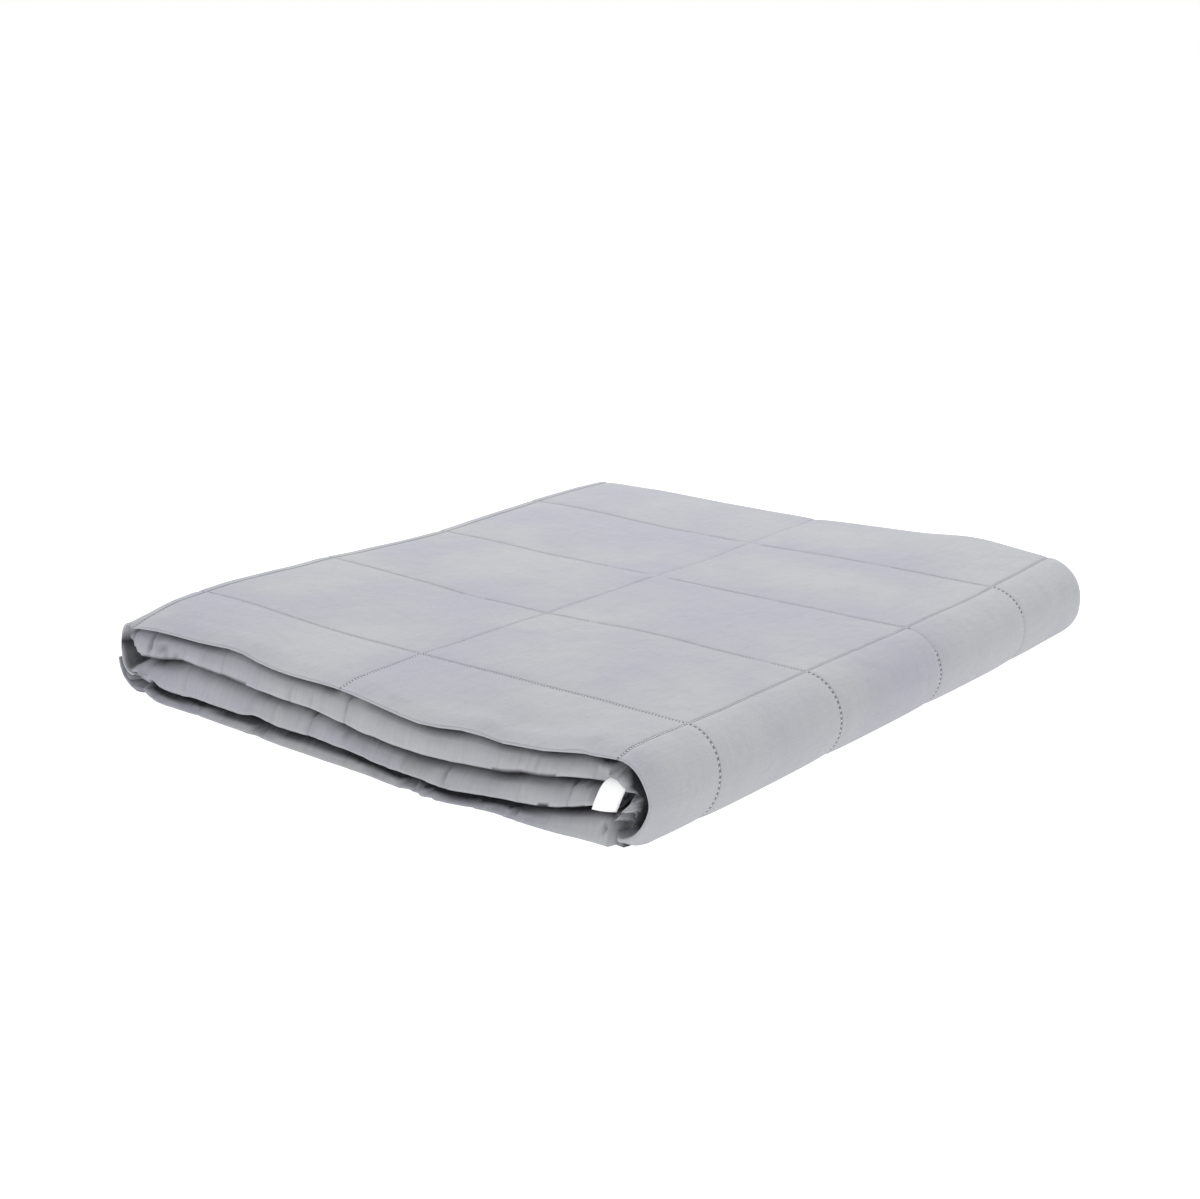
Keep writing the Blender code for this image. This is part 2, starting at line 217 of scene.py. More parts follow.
# Small creases down the front folds. The bands are the top panel's (1), the tucked one's (2) and the bottom
# one's (3). A trough's depth goes into the cloth, and a ridge's is below 0.
CREASES = (                          # band, from x, z, to x, z, half-width, depth
    (1, -0.0590, 0.0362, -0.0593, 0.0314, 0.0014, 0.0006),
    (1, -0.0400, 0.0385, -0.0393, 0.0325, 0.0014, 0.0007),
    (1, 0.1375, 0.0432, 0.1349, 0.0319, 0.0012, 0.0011),
    (1, 0.1400, 0.0432, 0.1376, 0.0330, 0.0014, -0.0007),
    (1, 0.1518, 0.0459, 0.1664, 0.0465, 0.0040, 0.0014),
    (1, -0.1985, 0.0446, -0.1972, 0.0346, 0.0017, 0.0030),
    (1, -0.1876, 0.0385, -0.1797, 0.0353, 0.0020, 0.0020),
    (1, -0.1805, 0.0372, -0.1640, 0.0352, 0.0011, 0.0015),
    (2, -0.0090, 0.0243, -0.0121, 0.0190, 0.0014, 0.0022),
    (2, 0.0400, 0.0205, 0.0592, 0.0216, 0.0050, 0.0020),
    (2, 0.0426, 0.0240, 0.0354, 0.0192, 0.0015, -0.0014),
    (2, 0.0690, 0.0219, 0.0725, 0.0101, 0.0015, 0.0018),
    (2, 0.0749, 0.0211, 0.0734, 0.0103, 0.0012, -0.0010),
    (2, 0.0761, 0.0218, 0.0751, 0.0107, 0.0008, 0.0007),
    (2, 0.0778, 0.0225, 0.0765, 0.0118, 0.0012, -0.0010),
    (2, 0.1464, 0.0304, 0.1481, 0.0273, 0.0040, 0.0010),
    (2, 0.1714, 0.0352, 0.1739, 0.0270, 0.0026, 0.0024),
    (2, 0.1786, 0.0363, 0.1782, 0.0282, 0.0016, -0.0012),
    (2, 0.1844, 0.0377, 0.1815, 0.0290, 0.0016, 0.0020),
    (3, -0.0940, 0.0075, -0.0925, 0.0045, 0.0050, 0.0060),
    (3, -0.0830, 0.0060, -0.0740, 0.0085, 0.0045, 0.0022),
    (3, 0.0010, 0.0080, -0.0052, 0.0003, 0.0016, -0.0012),
    (3, 0.0296, 0.0060, 0.0375, 0.0000, 0.0016, -0.0014),
    (3, 0.0347, 0.0050, 0.0385, 0.0000, 0.0014, -0.0012),
    (3, 0.0445, 0.0092, 0.0431, 0.0000, 0.0058, 0.0046),
    (3, 0.0509, 0.0078, 0.0470, 0.0000, 0.0017, -0.0020),
    (3, 0.0530, 0.0052, 0.0518, 0.0004, 0.0015, 0.0022),
    (3, 0.0568, 0.0085, 0.0565, 0.0000, 0.0022, -0.0020),
    (3, 0.0601, 0.0047, 0.0624, 0.0000, 0.0024, 0.0034),
    (3, 0.0607, 0.0072, 0.0663, 0.0000, 0.0011, -0.0018),
    (3, 0.0919, 0.0071, 0.0894, 0.0020, 0.0028, 0.0030),
    (3, 0.0954, 0.0075, 0.0930, 0.0010, 0.0020, -0.0012),
    (3, 0.1040, 0.0024, 0.1128, 0.0030, 0.0022, 0.0016),
    (3, 0.1166, 0.0096, 0.1137, 0.0019, 0.0018, -0.0022),
    (3, 0.1211, 0.0101, 0.1190, 0.0040, 0.0030, 0.0030),
    (3, 0.1252, 0.0100, 0.1219, 0.0020, 0.0020, -0.0012),
)

# The pleats that gather where the front fold goes round the right turn.
FAN_DEPTH = 2.1                      # their depths count this many times
FAN = (                              # from x, z, to x, z, half-width, depth
    (0.1780, 0.0452, 0.1985, 0.0375, 0.0022, -0.0018),
    (0.1985, 0.0375, 0.2057, 0.0286, 0.0014, -0.0022),
    (0.2014, 0.0293, 0.1915, 0.0222, 0.0013, -0.0016),
    (0.1925, 0.0222, 0.1781, 0.0128, 0.0017, -0.0018),
    (0.1900, 0.0180, 0.1800, 0.0108, 0.0018, 0.0026),
    (0.1935, 0.0215, 0.1822, 0.0102, 0.0012, -0.0018),
    (0.1930, 0.0175, 0.1855, 0.0090, 0.0019, 0.0024),
    (0.2014, 0.0293, 0.1937, 0.0208, 0.0012, -0.0024),
    (0.1937, 0.0208, 0.1871, 0.0088, 0.0014, -0.0024),
    (0.1921, 0.0160, 0.1905, 0.0090, 0.0018, 0.0022),
    (0.1968, 0.0253, 0.1927, 0.0178, 0.0013, -0.0022),
    (0.1927, 0.0178, 0.1940, 0.0105, 0.0013, -0.0022),
    (0.1965, 0.0215, 0.1968, 0.0125, 0.0017, 0.0040),
    (0.1990, 0.0205, 0.2000, 0.0130, 0.0012, -0.0016),
    (0.2020, 0.0310, 0.1980, 0.0330, 0.0022, 0.0030),
)

# Stitching along the quilting lines. The lines across the cloth (L) are counted from the front, the ones
# along it (M) from the left. In a gap the stitching doesn't show.
STITCH_PITCH = 0.0023
STITCH_LONG = 0.00150
STITCH_WIDE = 0.00072
STITCH_GAPS = (                      # kind of line, number, from, to
    ("L", 1, 0.130, 0.147),
    ("L", 1, 0.236, 0.243),
    ("L", 1, 0.366, 0.378),
    ("L", 2, 0.158, 0.176),
    ("L", 2, 0.290, 0.306),
    ("L", 2, 0.404, 0.420),
    ("L", 3, 0.150, 0.168),
    ("L", 3, 0.300, 0.322),
    ("L", 3, 0.424, 0.444),
    ("M", 0, 0.300, 0.520),
)

# The blank label: rows from its root to its foot, as left and right edges.
LABEL_ROWS = (                       # left x, left y, right x, right y, z
    (0.1856, -0.2480, 0.1962, -0.2440, 0.0405),
    (0.1850, -0.2530, 0.1964, -0.2478, 0.0398),
    (0.1841, -0.2562, 0.1960, -0.2508, 0.0370),
    (0.1831, -0.2582, 0.1950, -0.2526, 0.0330),
    (0.1818, -0.2590, 0.1938, -0.2534, 0.0290),
    (0.1804, -0.2594, 0.1918, -0.2536, 0.0242),
)
LABEL_THICK = 0.0005

# Colours: the cloth's two greys, the shade painted into its needle holes and into its crevices, the thread
# and the label's tape.
BLUE_GREY, WARM_GREY = (0.355, 0.360, 0.412, 1), (0.402, 0.408, 0.428, 1)
PAINTED_HOLE_SHADE_COLOUR = (0.05, 0.05, 0.065, 1)
PAINTED_SHADE_COLOUR = (0.015, 0.015, 0.022, 1)
THREAD_COLOURS = (0.60, 0.60, 0.64, 1), (0.80, 0.80, 0.84, 1)
TAPE_COLOURS = (0.86, 0.86, 0.87, 1), (0.95, 0.95, 0.95, 1)

# The relief of the cotton and of the tape: pitches, and heights or depths.
WEAVE_PITCH, RIB_PITCH = 0.0006, 0.0007
WEAVE_HIGH, SLUB_HIGH, CRUMPLE_HIGH = 0.00004, 0.00035, 0.0018
SOFT_HIGH, FOLD_HIGH, HOLE_DEEP = 0.0036, 0.0110, 0.00045
RIB_HIGH, FIBRE_HIGH = 0.00004, 0.0002


def ease(share):
    """0 to 1, level at both ends."""
    share = np.clip(share, 0.0, 1.0)
    return share * share * (3.0 - 2.0 * share)


def rising(x, start, over):
    """0 up to start, then easing to 1 over the distance that follows."""
    return ease((x - start) / over)


def falling(x, end, over):
    """1 at first, easing over a distance to 0 at the end."""
    return ease((end - x) / over)


def bell(x, middle, width):
    """1 in the middle, falling off to both sides."""
    return np.exp(-((x - middle) / width) ** 2)


def through(rows, x):
    """A smooth curve through a table's first two columns, read at x."""
    knots, values = np.array(rows).T
    return bend_through(knots, values, x)


def bend_through(knots, values, x):
    """A smooth curve through values at knots, read at x. Each point may have values of its own."""
    knots = np.asarray(knots, float)
    slopes = np.gradient(values, knots, axis=-1)
    x = np.clip(x, knots[0], knots[-1])
    low = np.clip(np.searchsorted(knots, x, side="right") - 1, 0, len(knots) - 2)

    def at(table, index):
        if table.ndim == 1:
            return table[index]
        return np.take_along_axis(table, index[..., None], -1)[..., 0]

    width = knots[low + 1] - knots[low]
    t = (x - knots[low]) / width
    start, end = at(values, low), at(values, low + 1)
    leave, arrive = at(slopes, low) * width, at(slopes, low + 1) * width
    return (start * (1 + 2 * t) * (1 - t) ** 2 + leave * t * (1 - t) ** 2
            + end * t * t * (3 - 2 * t) + arrive * t * t * (t - 1))


def noise(a, b, cell_a, cell_b, seed):
    """Soft, even noise from -1 to 1 over two coordinates, with its own cell size along each."""
    dice = np.random.RandomState(seed)
    lattice = dice.uniform(-1, 1, (LATTICE, LATTICE))
    # Counted from well inside the lattice.
    a, b = np.asarray(a) / cell_a + 77.3, np.asarray(b) / cell_b + 31.7
    low_a, low_b = np.floor(a).astype(int), np.floor(b).astype(int)
    share_a, share_b = ease(a - low_a), ease(b - low_b)

    def corner(i, j):
        return lattice[(low_a + i) % LATTICE, (low_b + j) % LATTICE]

    near = corner(0, 0) * (1 - share_a) + corner(1, 0) * share_a
    far = corner(0, 1) * (1 - share_a) + corner(1, 1) * share_a
    return near * (1 - share_b) + far * share_b


def walk(path, ends, start, distance):
    """Places and outward normals along a fold, in its own plane. All the turns go clockwise."""
    distance = np.asarray(distance, float)
    along, level = np.zeros_like(distance), np.zeros_like(distance)
    normal = np.zeros((2,) + distance.shape)
    place, height, heading = start
    begin = 0.0
    for (_, run, radius), end in zip(path, ends):
        here = (distance >= begin) if begin else np.ones_like(distance, bool)
        into = distance[here] - begin
        if radius:
            angle = np.minimum(into / radius, math.pi)
            out = heading * np.sin(angle), heading * np.cos(angle)
            along[here] = place + radius * out[0]
            level[here] = height - heading * radius + radius * out[1]
            height -= 2 * heading * radius
            heading = -heading
        else:
            out = np.zeros_like(into), np.full_like(into, heading)
            along[here] = place + heading * into
            level[here] = height
            place += heading * run
        normal[0][here], normal[1][here] = out
        begin = end
    return along, level, normal


def spread(begin, end, spacing):
    """Even stations from begin up to but not including end."""
    count = max(1, round((end - begin) / spacing))
    return begin + (end - begin) * np.arange(count) / count


def with_lines(places, first_line, cell, total):
    """Stations with each quilting line's own added, and those too close to them left out."""
    lines = np.arange(first_line, total, cell)
    steps = np.array([side * step for step in LINE_STEPS for side in (1, -1)])
    exact = (lines[:, None] + steps[None, :]).ravel()
    exact = np.unique(np.round(exact[(exact > 0) & (exact < total)], 6))
    clear = np.abs(places[:, None] - exact[None, :]).min(1) > CLEAR_OF_LINE
    clear[[0, -1]] = True
    return np.unique(np.concatenate([places[clear], exact])), exact


def columns():
    """Stations along u, and which of them the coarse rows keep."""
    places = np.append(np.concatenate([spread(*part) for part in COLUMNS]), CLOTH_U)
    places, exact = with_lines(places, FIRST_LINE_U, CELL_U, CLOTH_U)
    kept = np.isin(places, exact)
    kept[::COARSE_STEP] = True
    kept |= (places > RIGHT_TURN_U - 0.004) & (places < BOTTOM_U + 0.004)
    kept |= (places > LEFT_TURN_U) & (places < TOP_U)
    kept[[0, -1]] = True
    return places, kept


def rows():
    """Stations along v, and which of them have every column."""
    places = np.append(np.concatenate([spread(*part[:3]) for part in ROWS]), CLOTH_V)
    places, _ = with_lines(places, FIRST_LINE_V, CELL_V, CLOTH_V)
    fine = np.zeros(len(places), bool)
    for begin, end, _, wanted in ROWS:
        fine |= wanted & (places >= begin) & (places <= end)
    return places, fine


def half_thickness(u, v):
    """Half the cloth's thickness: puffed inside a cell, drawn in at the stitching, thin at the hems."""
    drawn_in = []
    for place, first_line, cell in ((u, FIRST_LINE_U, CELL_U), (v, FIRST_LINE_V, CELL_V)):
        off_line = np.abs((place - first_line + cell / 2) % cell - cell / 2)
        pinch = np.exp(-off_line / PINCH_WIDE)
        shoulder = np.exp(-(off_line / SHOULDER_WIDE) ** 1.3)
        drawn_in.append(DRAWN_IN * pinch + DRAWN_IN * shoulder)
    to_hem = np.minimum(np.minimum(u, CLOTH_U - u), np.minimum(v, CLOTH_V - v))
    hem = HEM_SHARE + (1 - HEM_SHARE) * ease(to_hem / HEM_WIDE) ** 0.8
    return 0.5 * CLOTH * (1 - np.maximum(*drawn_in)) * hem


def turn_share(u, begin, end):
    """1 in the middle of a turn, 0 outside it."""
    return np.sin(np.clip((u - begin) / (end - begin), 0, 1) * math.pi) ** 0.6


def in_front_fold(v):
    """Whether the cloth is in the fold that faces the front, or near it."""
    return (v > MIDDLE_V - FOLD_MARGIN) & (v < TUCK_V + FOLD_MARGIN)


def round_right_turn(u):
    """Whether the strip goes round the right turn here, or nearly does."""
    return (u > RIGHT_TURN_U - TURN_MARGIN) & (u < BOTTOM_U + TURN_MARGIN)


def folded(u, v, side):
    """Points of the cloth's outer (side 1) or inner (side -1) face, folded and settled."""
    u, v = np.broadcast_arrays(u, v)
    y, depth, across = walk(ACROSS, ACROSS_ENDS, ACROSS_START, v)
    x, z, along = walk(ALONG, ALONG_ENDS, ALONG_START, u)
    half = half_thickness(u, v)
    left_turn = turn_share(u, LEFT_TURN_U, TOP_U)
    right_turn = turn_share(u, RIGHT_TURN_U, BOTTOM_U)
    end_curl = rising(u, CURL_FROM_U + 0.040, TURN_BLEND)
    tucked = falling(u, LEFT_TURN_U - 0.004, TURN_BLEND)
    turned_under = tucked + rising(u, BOTTOM_U - 0.002, TURN_BLEND) * (1 - end_curl)
    fills_under = tucked + rising(u, BOTTOM_U - 0.019, TURN_BLEND) * (1 - end_curl)

    # The flap's hem lies on the fold under it, and well back where the strip is turned under. At the left
    # turn it stands out instead.
    on_flap = v < FLAP_V
    at_hem = (1 - ease(v / HEM_REACH)) * on_flap
    lies_low = at_hem * (1 - left_turn) * (1 - end_curl)
    depth = depth + lies_low * (2 * LAYER + AIR / 2 + half - depth)
    stands_out = at_hem * left_turn
    depth = depth + stands_out * (STRIP - half - depth)
    y = y + on_flap * HEM_BACK * turned_under * (1 - v / FLAP_V) ** 2
    drift = rising(u, RIGHT_TURN_U, 0.045) * rising(v, 0.0, 0.055) * falling(v, 0.23, 0.17)
    y = y - on_flap * TURN_DRIFT * drift

    y = y + side * half * across[0]
    depth = depth + side * half * across[1]

    # The front fold sags: it is widest low down and lies back at its top, and where the strip is turned
    # under it fills the room that the flap's hem leaves.
    in_fold = in_front_fold(v)
    front = in_fold * (1 - rising(y, FRONT_TURN_Y, FOLD_DEEP))
    upright = 2 * rising(along[1], -0.80, 0.5) - 1           # 1 upright, -1 turned under
    share = np.clip(depth / (2 * LAYER), 0, 1)
    skewed = np.where(upright > 0, share ** (1 + SAG_SKEW * upright),
                      1 - (1 - share) ** (1 - SAG_SKEW * upright))
    share = share + front * (skewed - share)
    gap = through(LOW_GAP, x) * falling(u, LEFT_TURN_U + 0.010, TURN_BLEND)
    hangs = LEFT_HANG * bell(x, -0.2045, 0.0042) * falling(u, LEFT_TURN_U + 0.010, 0.006)
    fuller = (fills_under * (0.5 - gap / (2 * LAYER)) + RIGHT_FULLER * right_turn
              + LEFT_FULLER * left_turn + END_FULLER * end_curl + hangs)
    depth = np.where(in_fold, 2 * LAYER * share * (1 + front * fuller), depth)
    lies_back = np.where(upright > 0, share, 1 - share)
    y = y + front * (SAG_DEPTH * lies_back * np.abs(upright) - SAG_FORWARD)

    above_middle = depth - STRIP / 2
    x = x + above_middle * along[0]
    z = z + above_middle * along[1]
    x, z = turn_end_up(x, z, u)
    return settle(x, y, z, u, v, along, front)


def turn_end_up(x, z, u):
    """The bottom panel's last stretch, laid between the curl's two curves."""
    curve = np.array(END_CURL)
    length = np.insert(np.cumsum(np.hypot(*np.diff(curve[:, :2], axis=0).T)), 0, 0.0)
    share = np.clip((u - CURL_FROM_U) / (CLOTH_U - CURL_FROM_U), 0, 1)
    outer_x, outer_z, inner_x, inner_z = (bend_through(length, column, share * length[-1])
                                          for column in curve.T)
    height = z / STRIP
    blend = ease(share / 0.3)
    return (x + blend * (outer_x + (inner_x - outer_x) * height - x),
            z + blend * (outer_z + (inner_z - outer_z) * height - z))


def crease_levels(x):
    """Heights of the floor and of the front face's three creases, from the bottom up."""
    return [np.zeros_like(x), through(LOW_CREASE, x), through(MID_CREASE, x), through(FLAP_CREASE, x)]


def top_relief(x, y, v):
    """How far the top stands up: uneven, fuller to the back and the left, and hollow behind the hem."""
    uneven = 0.0012 * noise(x, y, 0.11, 0.09, 3) + 0.0004 * noise(x, y, 0.034, 0.028, 4)
    to_back = rising(y, 0.10, 0.13)
    left_part = falling(x, -0.07, 0.12) * rising(y, -0.252, 0.040) * (1 - 0.55 * rising(y, -0.15, 0.16))
    fuller = (BACK_RISE * to_back
              + BACK_MIDDLE_RISE * to_back * bell(x, 0.06, 0.06)
              + LEFT_RISE * left_part
              + BACK_RIGHT_RISE * bell(x, 0.130, 0.045) * rising(y, 0.15, 0.10))
    on_hem = (v < 0.12) * rising(x, 0.03, 0.04) * falling(x, 0.16, 0.05)
    hollow = HEM_HOLLOW * on_hem * bell(v, 0.020, 0.011) * (1 + noise(x, y, 0.02, 0.5, 8))
    return uneven + fuller - hollow


def settle(x, y, z, u, v, along, fold_front):
    """The stack as it really lies."""
    front = 1 - rising(y, FRONT_SIDE, CREASE_REACH)
    x = x + front * (LEFT_SQUEEZE * np.clip((LEFT_TURN_X - x) / STRIP, 0, 1.4)
                     - RIGHT_SQUEEZE * np.maximum(along[0], 0))

    heights = crease_levels(x)
    levels = np.stack(heights + [heights[-1] + LAYER], axis=-1)
    even = (0.0, STRIP, 2 * STRIP, STACK - LAYER, STACK)
    eased = np.where(z > STACK, levels[..., -1] + z - STACK, bend_through(even, levels, z))
    z = z + front * (eased - z)
    y = y - front * through(FRONT_BOW, x)
    z = z + rising(z, STRIP, STRIP) * top_relief(x, y, v)

    upper_left = rising(z, 0.028, 0.011) * falling(x, -0.197, 0.013) * (u > LEFT_TURN_U)
    x = x - fold_front * UPPER_LEFT_OUT * upper_left
    y = y + fold_front * front_relief(x, z, u, v)
    flare = MIDDLE_FLARE * rising(y, -0.235, 0.08) + (LEFT_FLARE - MIDDLE_FLARE) * rising(y, 0.03, 0.15)
    drawn_in = BACK_CORNER * rising(y, 0.13, 0.13) * rising(x, 0.13, 0.08)
    x = x - flare * falling(x, 0.05, 0.25) - drawn_in
    return x, y, np.maximum(z - AIR / 2, 0.0)


def pressed(lines, x, z):
    """The depth of a list of creases at x, z."""
    total = np.zeros_like(x)
    for x0, z0, x1, z1, width, depth in lines:
        run_x, run_z = x1 - x0, z1 - z0
        share = np.clip(((x - x0) * run_x + (z - z0) * run_z) / (run_x ** 2 + run_z ** 2), 0, 1)
        off = np.hypot(x - x0 - share * run_x, z - z0 - share * run_z) / width
        total += depth * np.exp(-off ** 2)
    return total


def pleats(x, z, u):
    """How far the folds' pleats and dents are pressed in, or stand out where it is below 0."""
    depth = np.zeros(np.broadcast(x, u).shape)
    bands = (                            # band, from u, to u
        (1, TOP_U - 0.01, BOTTOM_U - 0.02),
        (2, 0.0, LEFT_TURN_U + 0.01),
        (3, BOTTOM_U, CURL_FROM_U + 0.06),
    )
    for band, begin, end in bands:
        on = (u > begin) & (u < end)
        depth += on * pressed([row[1:] for row in CREASES if row[0] == band], x, z)
    return depth + round_right_turn(u) * FAN_DEPTH * pressed(FAN, x, z)


def inside_hollow(x, z):
    """How far inside the left turn's hollow a place is, below 0 outside it."""
    return np.minimum(*(in_x * (x - edge_x) + in_z * (z - edge_z)
                        for in_x, in_z, edge_x, edge_z in LEFT_HOLLOW))


def from_turn_middle(x, z):
    """Distance from the right turn's middle, in the front face."""
    return np.hypot(x - RIGHT_TURN_X, z - 1.5 * STRIP)


def front_relief(x, z, u, v):
    """How far the front folds are pressed in, or stand out where it is below 0."""
    relief = 0.0007 * noise(u, v, 0.0105, 0.030, 5) + 0.00035 * noise(u, v, 0.0040, 0.016, 6)
    relief += 0.0008 * noise(u, v, 0.045, 0.05, 7)
    relief += pleats(x, z, u)

    # The hollow inside the left turn, and the pocket in the end that is turned up.
    on_left_turn = (u > LEFT_TURN_U - TURN_MARGIN) * (u < TOP_U + TURN_MARGIN)
    relief += on_left_turn * HOLLOW_DEEP * ease(inside_hollow(x, z) / 0.0028)
    off_pocket = np.hypot((x + 0.2120) / 0.0052, (z - 0.0095) / 0.0058)
    relief += (u > CURL_FROM_U) * POCKET_DEEP * falling(off_pocket, 1.15, 0.4)

    # Deep under the fold above, and tucked in at the foot.
    levels = crease_levels(x)
    in_panels = falling(x, RIGHT_TURN_X - 0.004, 0.020) * rising(x, LEFT_TURN_X - 0.004, 0.012)
    for low, high in zip(levels, levels[1:]):
        share = (z - low) / (high - low)
        inside = (share > 0) & (share <= 1)
        cut = UNDERCUT * rising(share, 0.66, 0.30) + FOOT_TUCK * falling(share, 0.13, 0.13)
        relief += inside * in_panels * cut

    # The gap between the shell and the fold inside the right turn.
    at_corner = round_right_turn(u)
    in_arc = (x > RIGHT_TURN_X - 0.006) * rising(from_turn_middle(x, z), 0.0146, 0.0024)
    relief += at_corner * ARC_DEEP * in_arc
    relief = relief * (0.35 + 0.65 * ease(z / 0.0045))
    foot = bell(x, 0.1920, 0.0085) * falling(z, 0.0130, 0.006)
    return relief - at_corner * 0.0015 * foot


def painted_shade_in_folds(x, y, z, u, v):
    """Shade painted into the crevices of the front face, where little light comes: 0 on the open cloth, 1
    far down in a crevice.
    """
    on_fold = in_front_fold(v) & (y < FRONT_SIDE + 0.035)
    in_panels = falling(x, RIGHT_TURN_X + 0.006, 0.014) * rising(x, LEFT_TURN_X + 0.004, 0.008)
    creases = np.zeros_like(x)
    for crease, painted_shade_amount, reach in PAINTED_CREASE_SHADE:
        below = through(crease, x) - z
        line = painted_shade_amount * (below > -0.001) * falling(below, reach + 0.0007, 0.0014)
        broad = PAINTED_BROAD_SHADE * (below > 0) * ease(1 - below / 0.0130)
        creases = np.maximum(creases, np.maximum(line, broad) * in_panels * on_fold)

    # Painted shade also in the right turn's gap, the left turn's hollow, the shell's end at the left, the
    # left corner and the dents.
    arc_from = 0.0143 - 0.0034 * rising(x, RIGHT_TURN_X, 0.012)
    arc = rising(from_turn_middle(x, z), arc_from, 0.0016) * rising(x, RIGHT_TURN_X - 0.004, 0.006)
    hollow = PAINTED_HOLLOW_SHADE * ease(inside_hollow(x, z) / 0.0016) * rising(y, FRONT_SIDE + 0.0025, 0.004)
    hollow = hollow * (y < FRONT_SIDE + 0.06) * (x < -0.205)
    shell_end = (v < 0.014) * (x < -0.218) * rising(z, 0.0285, 0.003) * falling(z, 0.0415, 0.002)
    left_corner = bell(x, -0.1955, 0.0042) * bell(through(LOW_CREASE, x) - z, 0.0032, 0.0030) * on_fold
    dents = PAINTED_DENT_SHADE * np.clip(pleats(x, z, u) / 0.0030, 0, 1) * on_fold * rising(z, 0.0012, 0.002)
    return np.maximum.reduce([creases, arc * on_fold, hollow, left_corner, shell_end, dents])


def stitched_faces(number, kept, fine):
    """Faces of a grid whose fine rows have every column and whose other rows only the kept ones."""
    faces = []
    edges = np.flatnonzero(kept)
    for j in range(len(fine) - 1):
        if fine[j] == fine[j + 1]:
            present = slice(None) if fine[j] else edges
            low, high = number[present, j], number[present, j + 1]
            faces += np.stack([low[:-1], low[1:], high[1:], high[:-1]], -1).tolist()
            continue
        for begin, end in zip(edges, edges[1:]):
            low = number[begin:end + 1, j] if fine[j] else number[[begin, end], j]
            high = number[begin:end + 1, j + 1] if fine[j + 1] else number[[begin, end], j + 1]
            faces.append(low.tolist() + high[::-1].tolist())
    return faces


def new_piece(name, points, faces):
    """An object of its own from points and faces, smoothly shaded."""
    mesh = bpy.data.meshes.new(name)
    mesh.from_pydata(points.tolist(), [], faces)
    mesh.shade_smooth()
    piece = bpy.data.objects.new(name, mesh)
    bpy.context.scene.collection.objects.link(piece)
    return piece


def cloth_mesh(name):
    """The whole cloth as one closed mesh. The inner face, which hardly shows, has fewer stations."""
    us, kept = columns()
    vs, fine = rows()
    present = kept[:, None] | fine[None, :]
    number = np.where(present, np.cumsum(present).reshape(present.shape) - 1, -1)
    outer = np.stack(folded(us[:, None], vs[None, :], 1), -1)[present]
    faces = stitched_faces(number, kept, fine)

    kept_u = np.flatnonzero(kept)
    few_u = np.unique(np.append(kept_u[::INNER_STEP], len(us) - 1))
    few_v = np.unique(np.append(np.arange(0, len(vs), INNER_STEP), len(vs) - 1))
    inner = np.stack(folded(us[few_u][:, None], vs[few_v][None, :], -1), -1)
    back = len(outer) + np.arange(len(few_u) * len(few_v)).reshape(len(few_u), len(few_v))
    hidden = np.stack([back[:-1, :-1], back[:-1, 1:], back[1:, 1:], back[1:, :-1]], -1)
    faces += hidden.reshape(-1, 4).tolist()

    def rim(outer_line, inner_line, few, flip):
        for low in range(len(few) - 1):
            edge = [int(i) for i in outer_line[few[low]:few[low + 1] + 1] if i >= 0]
            face = edge + [int(inner_line[low + 1]), int(inner_line[low])]
            faces.append(face[::-1] if flip else face)

    rim(number[:, 0], back[:, 0], few_u, True)
    rim(number[:, -1], back[:, -1], few_u, False)
    rim(number[0, :], back[0, :], few_v, False)
    rim(number[-1, :], back[-1, :], few_v, True)

    points = np.concatenate([outer, inner.reshape(-1, 3)]) + shift
    flat_outer = np.stack(np.broadcast_arrays(us[:, None], vs[None, :]), -1)[present]
    flat_inner = np.stack(np.broadcast_arrays(us[few_u][:, None], vs[few_v][None, :]), -1).reshape(-1, 2)
    flat = np.concatenate([flat_outer, flat_inner])
    piece = new_piece(name, points, faces)
    mesh = piece.data
    corners = np.empty(len(mesh.loops), int)
    mesh.loops.foreach_get("vertex_index", corners)
    mesh.uv_layers.new(name="cloth").data.foreach_set("uv", flat[corners].ravel())
    # Shade painted into the front folds' crevices, kept on the points for the cotton's colour.
    painted_shade_amount = painted_shade_in_folds(*(points - shift).T, *flat.T)
    mesh.attributes.new("painted_crevice_shade", "FLOAT", "POINT").data.foreach_set("value", painted_shade_amount)
    return piece


def line_at(kind, number):
    """The cloth coordinate of a quilting line: v of one across (L), u of one along (M)."""
    if kind == "L":
        return FIRST_LINE_V + CELL_V * number
    return RIGHT_TURN_U - CELL_U * (1 - number)


def line_places():
    """Cloth coordinates of every stitch that shows, and its direction along u or v."""
    places = []
    start = STITCH_PITCH * math.ceil((LEFT_TURN_U + 0.006) / STITCH_PITCH)
    for number in range(4):
        v = line_at("L", number)
        for step in range(int((BOTTOM_U - start) / STITCH_PITCH)):
            u = start + STITCH_PITCH * step
            if not skipped("L", number, u - TOP_U):
                places.append((u, v, 1, 0))
    for number in range(2):
        u = line_at("M", number)
        for step in range(int(FLAP_V / STITCH_PITCH)):
            v = STITCH_PITCH * (step + 1)
            if not skipped("M", number, v):
                places.append((u, v, 0, 1))
    return np.array(places)


def skipped(kind, number, place):
    """Whether a line's stitching doesn't show at a place."""
    return any(kind == a and number == b and begin < place < end for a, b, begin, end in STITCH_GAPS)


def cloth_frame(u, v):
    """Place on the outer face with its two directions and its normal."""
    step = 0.0004
    middle = np.stack(folded(u, v, 1), -1)
    along_u = np.stack(folded(u + step, v, 1), -1) - np.stack(folded(u - step, v, 1), -1)
    along_v = np.stack(folded(u, v + step, 1), -1) - np.stack(folded(u, v - step, 1), -1)
    along_u /= np.linalg.norm(along_u, axis=-1, keepdims=True)
    along_v /= np.linalg.norm(along_v, axis=-1, keepdims=True)
    normal = np.cross(along_u, along_v)
    return middle + shift, along_u, along_v, normal / np.linalg.norm(normal, axis=-1, keepdims=True)


